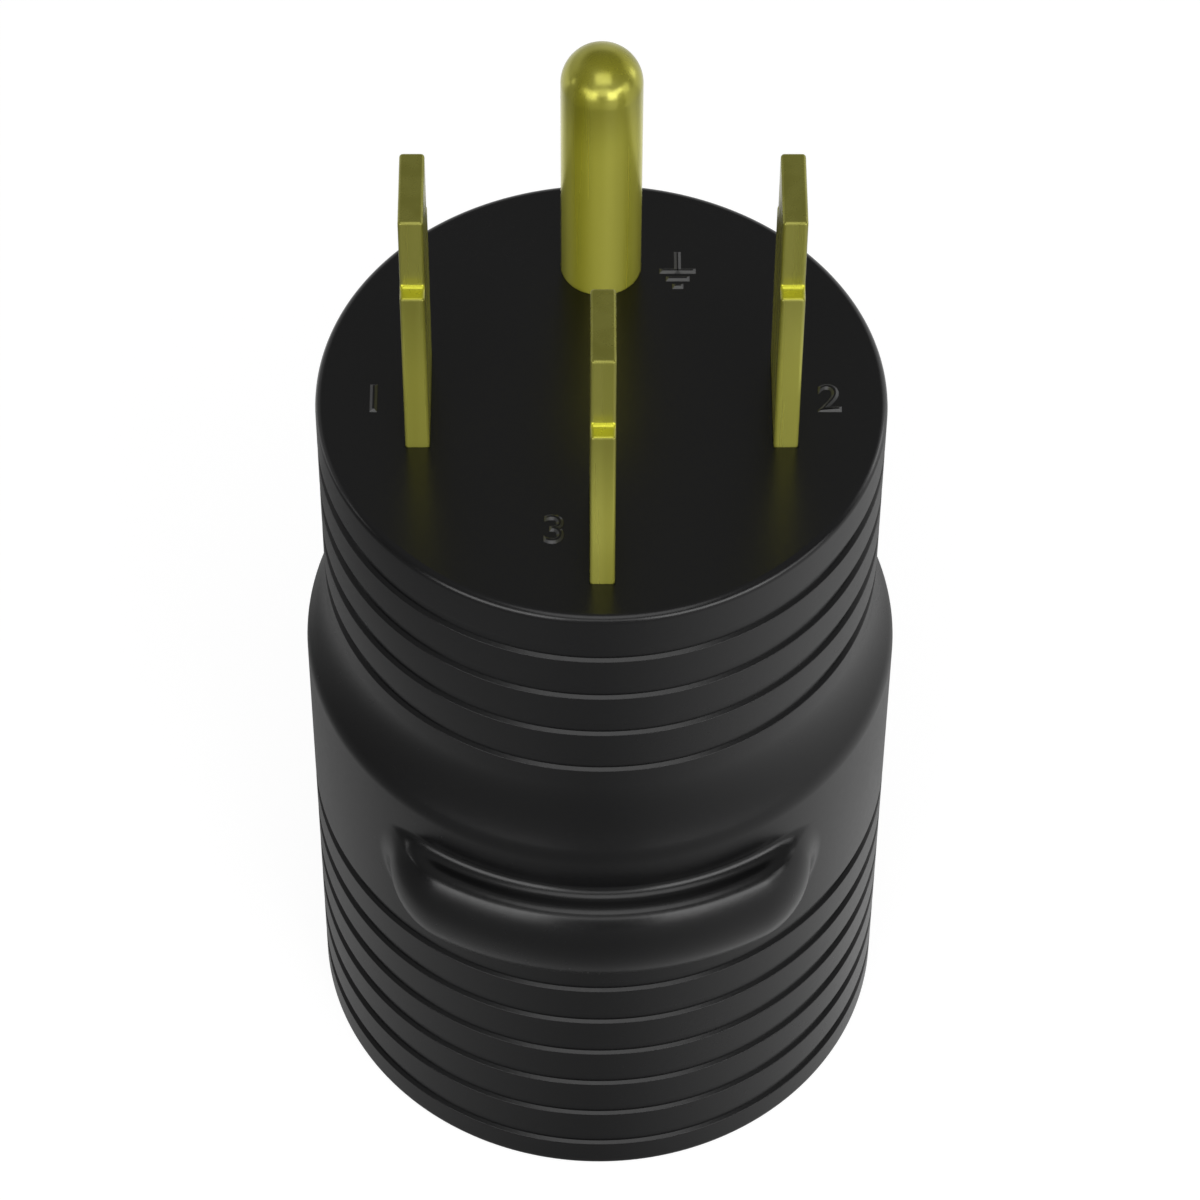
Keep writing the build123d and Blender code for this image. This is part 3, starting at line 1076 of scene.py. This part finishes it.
    def build(self, turned: ShapeGraph, lips: ShapeGraph, finish: bpy.types.Material) -> None:
        """Turn the outline, raise the lips, open the face and set the marks on it.

        Args:
            turned: the tree that turns a profile.
            lips: the tree that raises the lips.
            finish: the grip's material.
        """
        values = {"Columns": self.columns, "Crowding": self.crowding, "Finish": finish}
        shell = turned.make("grip", polyline("grip_outline", self.outline().points), values)
        sizes = {
            "Wall radius": self.radius, "Bow radius": self.lip_bow, "Bar radius": self.lip_bar,
            "Bar height": self.lip_height, "Ledge height": self.lip_ledge,
            "Ledge round": self.ledge_round, "Root round": self.root_round,
            "Reach": self.lip_bow + self.lip_bar + self.ray_over,
            "Ray radius": self.ray_ring[0], "Ray height": self.ray_ring[1],
            "Band bottom": self.grip_grooves[0] + self.band_gaps[0],
            "Band top": self.shoulder_start - self.band_gaps[1],
        }
        values = {name: size * MM for name, size in sizes.items()}
        values["Half angle"] = math.radians(self.lip_half_angle)
        values["Finish"] = finish
        grip = lips.make("grip", shell, values)
        grip = add(cut(grip, self.openings()), self.marks())
        paint(grip, finish)
        dress(shade(grip, self.sharp_degrees), "moulding", "body")


@dataclass
class Crimp:
    """A crimp barrel at the foot of a pole, bored from below for the wire."""

    radius: float = 2.55
    bore: float = 1.6
    mouth: float = 47.1
    height: float = 7.0
    depth: float = 5.6
    columns: int = 48

    def outline(self) -> Outline:
        """Draw the barrel's section from the middle of its top."""
        return self.draw(Outline(0, self.mouth + self.height))

    def draw(self, outline: Outline) -> Outline:
        """Go on from a point above the barrel, down its outside and up its bore.

        Args:
            outline: the outline so far.

        Returns:
            The outline.
        """
        outline.to(self.radius, outline.points[-1][1])
        outline.to(self.radius, self.mouth)
        outline.to(self.bore, self.mouth)
        outline.to(self.bore, self.mouth + self.depth)
        return outline.to(0, self.mouth + self.depth)


@dataclass
class Blade:
    """A flat blade: a stamping with a step near its tip, a stop lug, and a crimp if it is wired."""

    pole: Pole
    thickness: float = 1.7
    width: float = 8.7
    step_height: float = 6.3
    inset: float = 1.15
    root_round: float = 0.4
    edge_round: float = 0.25
    stop_bottom: float = 57.1
    stop_height: float = 2.0
    stop_lug: float = 2.0
    tail_width: float = 5.0
    tail_overlap: float = 0.5
    rounded_degrees: float = 40.0

    def __post_init__(self) -> None:
        """Read the blade's place from the frame."""
        low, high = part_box(self.pole.node)
        self.x = (low.x + high.x) / 2 / MM
        self.front = low.y / MM
        self.tip = high.z / MM

    def section(self) -> list[Point]:
        """Draw the blade's outline in its own plane, with round corners in its steps.

        Returns:
            Its (y, z) points in millimetres, in order.
        """
        rear = self.front + self.width
        middle = (self.front + rear) / 2
        ledge = self.tip - self.step_height
        stop_top = self.stop_bottom + self.stop_height
        neck_front, neck_rear = self.front + self.inset, rear - self.inset
        corner, neck_start = self.root_round, ledge + self.root_round
        outline = Outline(self.front, self.stop_bottom)
        outline.to(self.front, ledge)
        outline.to(neck_front - corner, ledge)
        outline.turn((neck_front - corner, neck_start), corner, 270, 90, steps=5)
        outline.to(neck_front, self.tip)
        outline.to(neck_rear, self.tip)
        outline.to(neck_rear, neck_start)
        outline.turn((neck_rear + corner, neck_start), corner, 180, 90, steps=5)
        outline.to(rear, ledge)
        outline.to(rear, stop_top)
        outline.to(rear + self.stop_lug, stop_top)
        outline.to(rear + self.stop_lug, self.stop_bottom)
        if self.pole.wired:
            tail_end = Crimp.mouth + Crimp.height - self.tail_overlap
            outline.to(middle + self.tail_width / 2, self.stop_bottom)
            outline.to(middle + self.tail_width / 2, tail_end)
            outline.to(middle - self.tail_width / 2, tail_end)
            outline.to(middle - self.tail_width / 2, self.stop_bottom)
        return outline.points

    def build(self, turned: ShapeGraph, finish: bpy.types.Material) -> None:
        """Cut the stamping out, add its crimp and round its edges.

        Args:
            turned: the tree that turns a profile.
            finish: the blade's material.
        """
        form = bmesh.new()
        near, far = (
            [form.verts.new(Vector((self.x + side, y, z)) * MM) for y, z in self.section()]
            for side in (-self.thickness / 2, self.thickness / 2)
        )
        form.faces.new(near)
        form.faces.new(far[::-1])
        for index, corner in enumerate(near):
            after = (index + 1) % len(near)
            form.faces.new((corner, far[index], far[after], near[after]))
        if self.pole.wired:
            place = (self.x * MM, (self.front + self.width / 2) * MM, 0.0)
            values = {"Columns": Crimp.columns, "Crowding": 0.0, "Place": place, "Finish": finish}
            section = polyline("barrel_outline", Crimp().outline().points)
            barrel = turned.make("barrel", section, values)
            form.from_mesh(barrel.data)
            bpy.data.objects.remove(barrel)
        blade = from_form(f"{self.pole.node}_brass", form, finish)
        blade.data.polygons.foreach_set("use_smooth", [True] * len(blade.data.polygons))
        round_edges(blade, self.edge_round, 4, self.rounded_degrees)
        dress(blade, "blade_brass", self.pole.node)


@dataclass
class EarthPin:
    """The round earth pin: turned, with a domed tip, a relief, a stop collar and a crimp."""

    radius: float = 2.85
    relief_radius: float = 2.6
    relief_length: float = 0.6
    collar_radius: float = 4.2
    collar_round: float = 0.2
    columns: int = 128
    sharp_degrees: float = 38.0

    def __post_init__(self) -> None:
        """Read the pin's place from the frame."""
        low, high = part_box("earth_pin")
        self.y = (low.y + high.y) / 2 / MM
        self.tip = high.z / MM
        self.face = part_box("body")[1].z / MM

    def outline(self) -> Outline:
        """Draw the section from the tip down the outside and up the bore.

        Returns:
            The outline.
        """
        collar_bottom = Blade.stop_bottom
        collar_top = collar_bottom + Blade.stop_height
        collar_core = self.collar_radius - self.collar_round
        outline = Outline(0, self.tip)
        outline.turn((0, self.tip - self.radius), self.radius, 90, -90, steps=24)
        outline.to(self.radius, self.face)
        outline.to(self.relief_radius, self.face)
        outline.to(self.relief_radius, self.face - self.relief_length)
        outline.to(self.radius, self.face - self.relief_length)
        outline.to(self.radius, collar_top)
        outline.to(collar_core, collar_top)
        corner = self.collar_round
        outline.turn((collar_core, collar_top - corner), corner, 90, -90, steps=3)
        outline.turn((collar_core, collar_bottom + corner), corner, 0, -90, steps=3)
        outline.to(Crimp.radius, collar_bottom)
        return Crimp().draw(outline)

    def build(self, turned: ShapeGraph, finish: bpy.types.Material) -> None:
        """Turn the pin, which is logged under the blades' slot, since the record has none of its
        own for it.

        Args:
            turned: the tree that turns a profile.
            finish: the pin's material.
        """
        place = (0.0, self.y * MM, 0.0)
        values = {"Columns": self.columns, "Crowding": 0.0, "Place": place, "Finish": finish}
        section = polyline("pin_outline", self.outline().points)
        pin = turned.make("earth_pin_brass", section, values)
        dress(shade(pin, self.sharp_degrees), "blade_brass", "earth_pin")


@dataclass
class SocketInsert:
    """The socket's face and pockets: a turned block with slanted slots and the earth hole."""

    face_radius: float = 16.2
    face_round: float = 0.3
    flange_radius: float = 17.7
    flange_bottom: float = 2.1
    floor: float = 3.5
    entry: float = 0.4
    slot: Point = (12.6, 2.4)
    slot_place: Point = (8.3, -2.6)
    slot_turn: float = 45.0
    pocket: Point = (13.4, 6.6)
    earth_y: float = 9.0
    earth_radius: float = 3.4
    earth_pocket_radius: float = 4.9
    over: float = 0.2
    columns: int = 180
    sharp_degrees: float = 38.0

    def __post_init__(self) -> None:
        """Read the insert's levels from the frame."""
        low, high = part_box("socket_insert")
        self.face = low.z / MM
        self.top = high.z / MM

    def outline(self) -> Outline:
        """Draw the block's section from the middle of its top round to the middle of its face.

        Returns:
            The outline.
        """
        core = self.face_radius - self.face_round
        outline = Outline(0, self.top)
        outline.to(self.flange_radius, self.top, 3)
        outline.to(self.flange_radius, self.flange_bottom, 3)
        outline.to(self.face_radius, self.flange_bottom)
        outline.to(self.face_radius, self.face + self.face_round)
        outline.turn((core, self.face + self.face_round), self.face_round, 0, -90, steps=5)
        return outline.to(0, self.face, 3)

    def openings(self) -> bpy.types.Object:
        """Make the solids that cut the slots, the earth hole and the pockets behind them.

        Returns:
            An object that holds them.
        """
        form = bmesh.new()
        over = self.over
        inner = self.face + self.floor
        entry = 2 * (self.entry + over)
        widths = ((entry, self.face - over), (0, self.face + self.entry), (0, inner))
        pocket_levels = (inner, self.top + over)
        length_along, breadth = self.slot
        for side in (-1, 1):
            x, y = side * self.slot_place[0], self.slot_place[1]
            turn = side * self.slot_turn
            rings = [
                box_ring(x, y, length_along + more, breadth + more, level, turn)
                for more, level in widths
            ]
            rings += [box_ring(x, y, *self.pocket, level, turn) for level in pocket_levels]
            stack(form, rings)
        rings = [
            round_ring(0, self.earth_y, self.earth_radius + more / 2, level)
            for more, level in widths
        ]
        for level in pocket_levels:
            rings.append(round_ring(0, self.earth_y, self.earth_pocket_radius, level))
        stack(form, rings)
        return from_form("socket_openings", form)

    def build(self, turned: ShapeGraph, finish: bpy.types.Material) -> None:
        """Turn the block and cut its openings.

        Args:
            turned: the tree that turns a profile.
            finish: the insert's material.
        """
        values = {"Columns": self.columns, "Crowding": 0.0, "Finish": finish}
        section = polyline("insert_outline", self.outline().points)
        block = cut(turned.make("socket_insert_black", section, values), self.openings())
        paint(block, finish)
        dress(shade(block, self.sharp_degrees), "insert", "socket_insert")


@dataclass
class InnerWorks:
    """The pieces inside, smoothed from their CAD solids: carrier, cover, contacts and wires."""

    sharp_degrees: float = 30.0
    flat_degrees: float = 0.5
    plates: tuple[tuple[str, str, Finish], ...] = (
        ("blade_carrier", "carrier", CARRIER_BLACK),
        ("socket_cover", "insert", INSERT_BLACK),
    )
    metals: tuple[tuple[str, str, Finish], ...] = (
        ("contact", "contact_brass", CONTACT_BRASS),
        ("spring_band", "spring_steel", SPRING_STEEL),
        ("wire_core", "copper", WIRE_COPPER),
    )
    jackets: tuple[tuple[str, str, Finish], ...] = (
        ("line", "jacket_black", LINE_JACKET),
        ("neutral", "jacket_white", NEUTRAL_JACKET),
        ("earth", "jacket_green", EARTH_JACKET),
    )

    def pieces(self) -> list[tuple[str, str, Finish]]:
        """List the pieces.

        Returns:
            Each one's CAD node, material slot and finish.
        """
        metals = [
            (f"{wire}_{kind}", slot, finish)
            for kind, slot, finish in self.metals
            for wire, _, _ in self.jackets
        ]
        jackets = [(f"{wire}_wire_jacket", slot, finish) for wire, slot, finish in self.jackets]
        return [*self.plates, *metals, *jackets]

    def build(self) -> None:
        """Smooth and dress each piece, with one material for each finish."""
        made: dict[str, bpy.types.Material] = {}
        level = math.radians(self.flat_degrees)
        for node, slot, finish in self.pieces():
            if finish.name not in made:
                made[finish.name] = finish.material()
            form = bmesh.new()
            form.from_mesh(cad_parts[node].data)
            bmesh.ops.remove_doubles(form, verts=form.verts, dist=0.001 * MM)
            bmesh.ops.dissolve_limit(form, angle_limit=level, verts=form.verts, edges=form.edges)
            mesh = bpy.data.meshes.new(node)
            form.to_mesh(mesh)
            form.free()
            mesh.materials.clear()
            mesh.materials.append(made[finish.name])
            piece = shade(new_object(f"{node}_{slot}", mesh), self.sharp_degrees)
            dress(piece, slot, node)


@dataclass(frozen=True)
class Lamp:
    """A rectangular lamp that faces the object.

    The azimuth is in degrees to the right of the front and the elevation in degrees above the
    horizon. The distance and the size are in metres. The level is how bright it looks, where 1 is
    white.
    """

    name: str
    azimuth: float
    elevation: float
    distance: float
    size: Point
    level: float
    aim: float = 0.045

    def hang(self) -> None:
        """Put the lamp into the scene."""
        light = bpy.data.lights.new(self.name, "AREA")
        light.shape = "RECTANGLE"
        light.size, light.size_y = self.size
        light.energy = self.level * math.pi * light.size * light.size_y
        turn, lift = math.radians(self.azimuth), math.radians(self.elevation)
        level = math.cos(lift)
        away = Vector((math.sin(turn) * level, -math.cos(turn) * level, math.sin(lift)))
        lamp = bpy.data.objects.new(self.name, light)
        lamp.location = Vector((0.0, 0.0, self.aim)) + away * self.distance
        lamp.rotation_euler = away.to_track_quat("Z", "Y").to_euler()
        bpy.context.scene.collection.objects.link(lamp)


@dataclass
class Studio:
    """A pale floor, a softbox above the front, weaker sides, a white backdrop, and the camera.

    The floor glows white to the camera. To the rays that metal and glass send it glows little in
    front, more at the sides and white behind the object, which gives the grip its dark middle and
    its light sides. Distances on the floor are in metres, and the camera's place in millimetres.
    """

    floor_size: float = 1.4
    floor_drop: float = 0.00002
    floor_colour: float = 0.25
    floor_glow: float = 0.90
    front_glow: float = 0.02
    side_glow: float = 0.33
    side_blur: float = 0.01
    right_glow: float = 0.12
    behind_loss: float = 0.35
    behind_edges: Point = (-0.3, 0.6)
    left_edges: Point = (0.045, 0.070)
    back_glow: float = 0.9
    back_edges: Point = (0.035, 0.09)
    room_level: float = 0.10
    ceiling_level: float = 0.26
    ceiling_edges: Point = (0.2, 1.0)
    backdrop_level: float = 0.7
    backdrop_right: float = 0.3
    backdrop_edges: Point = (0.0, 0.35)
    backdrop_top: Point = (0.35, 0.62)
    lens: float = 156.256
    sensor: float = 36.0
    shift: Point = (0.00031, 0.0354)
    clip: Point = (0.01, 10.0)
    camera_place: Triple = (-1.9001, -235.5233, 344.4542)
    camera_right: Triple = (0.999988, -0.003144, 0.003707)
    camera_down: Triple = (-0.000231, -0.792494, -0.609879)
    camera_forward: Triple = (0.004855, 0.609871, -0.792486)
    lamps: tuple[Lamp, ...] = (
        Lamp("softbox", 6.0, 60.0, 0.60, (0.46, 0.34), 1.5),
        Lamp("front_fill", 0.0, 22.0, 0.80, (0.70, 0.28), 1.2),
        Lamp("front_left", -34.0, 11.0, 0.55, (0.40, 0.22), 2.9),
        Lamp("front_right", 36.0, 11.0, 0.55, (0.40, 0.22), 3.3),
        Lamp("far_right", 66.0, 10.0, 0.55, (0.26, 0.20), 1.7),
        Lamp("left_side", -91.0, 9.0, 0.55, (0.07, 0.12), 1.6),
        Lamp("right_side", 113.0, 8.0, 0.55, (0.14, 0.16), 2.0),
    )

    def floor(self) -> None:
        """Lay the floor: it glows to the camera and, behind the object, in metal and glass."""
        form = bmesh.new()
        half = self.floor_size / 2
        corners = ((-half, -half), (half, -half), (half, half), (-half, half))
        form.faces.new([form.verts.new((x, y, -self.floor_drop)) for x, y in corners])
        material = bpy.data.materials.new("pale_floor")
        material.use_nodes = True
        material.node_tree.nodes.clear()
        graph = Graph(material.node_tree)
        grey = (self.floor_colour, self.floor_colour, self.floor_colour, 1.0)
        matt = graph.add("ShaderNodeBsdfDiffuse", None, {"Color": grey})
        right, back, _ = graph.separate(object_place(graph))
        away = length(right, back)
        aside = right / away
        glow = self.front_glow + (aside * aside + self.side_blur).root() * self.side_glow
        behind = 1 - (back / away).rise(*self.behind_edges) * self.behind_loss
        left = 1 - away.rise(*self.left_edges) * (0 - aside).most(0.0)
        near = (glow + aside * self.right_glow) * behind * left
        # Behind the object the glow turns white only some way back; nearer it stays dim, a painted
        # shadow of the object in what metal and glass reflect.
        seen = self.seen(graph, near.most(back.rise(*self.back_edges) * self.back_glow))
        lit = graph.add("ShaderNodeEmission", None, {"Strength": seen * self.floor_glow})
        both = graph.add("ShaderNodeAddShader", None, {0: matt, 1: lit})
        leave = graph.tree.nodes.new("ShaderNodeOutputMaterial")
        graph.feed(leave.inputs["Surface"], both)
        from_form("floor", form, material)

    @staticmethod
    def seen(graph: Graph, share: Value) -> Value:
        """Tell the camera's rays from those that metal and glass send.

        Args:
            graph: the graph.
            share: what the rays that metal and glass send get.

        Returns:
            1 for the camera, the share for those rays, and 0 for all others.
        """
        camera = graph.add("ShaderNodeLightPath")
        sent = camera.other("Is Glossy Ray").most(camera.other("Is Transmission Ray"))
        return camera.most(sent * share)

    def world(self) -> None:
        """Surround the scene with a dim room and a white backdrop behind."""
        world = bpy.data.worlds.new("studio")
        bpy.context.scene.world = world
        world.use_nodes = True
        graph = Graph(world.node_tree)
        background = world.node_tree.nodes["Background"]
        right, back, up = graph.separate(graph.add("ShaderNodeTexCoord", output="Generated"))
        ceiling = up.rise(*self.ceiling_edges)
        room = self.room_level + ceiling * (self.ceiling_level - self.room_level)
        backdrop = back.rise(*self.backdrop_edges) * (1 - up.rise(*self.backdrop_top))
        seen = self.seen(graph, backdrop * (self.backdrop_level + right * self.backdrop_right))
        graph.feed(background.inputs["Color"], (1.0, 1.0, 1.0, 1.0))
        graph.feed(background.inputs["Strength"], room + seen * (1 - room))

    def camera(self) -> None:
        """Set the camera where it was fitted to the photograph."""
        view = bpy.data.cameras.new("camera")
        view.lens = self.lens
        view.sensor_width = self.sensor
        view.shift_x, view.shift_y = self.shift
        view.clip_start, view.clip_end = self.clip
        camera = bpy.data.objects.new("camera", view)
        down, forward = Vector(self.camera_down), Vector(self.camera_forward)
        turned = Matrix((self.camera_right, -down, -forward)).transposed().to_4x4()
        camera.matrix_world = Matrix.Translation(Vector(self.camera_place) * MM) @ turned
        bpy.context.scene.collection.objects.link(camera)
        bpy.context.scene.camera = camera

    def build(self) -> None:
        """Set everything up."""
        self.floor()
        self.world()
        for lamp in self.lamps:
            lamp.hang()
        self.camera()
        bpy.context.scene.view_settings.view_transform = "Standard"


def main() -> None:
    """Build each piece in order and light it."""
    logging.basicConfig(level=logging.INFO, format="%(message)s")
    turned = turned_tree()
    brass = BLADE_BRASS.material()
    Grip().build(turned, lip_tree(), GRIP_BLACK.material())
    for pole in Pole:
        Blade(pole).build(turned, brass)
    EarthPin().build(turned, PIN_BRASS.material())
    SocketInsert().build(turned, INSERT_BLACK.material())
    InnerWorks().build()
    Studio().build()


if __name__ == "__main__":
    main()
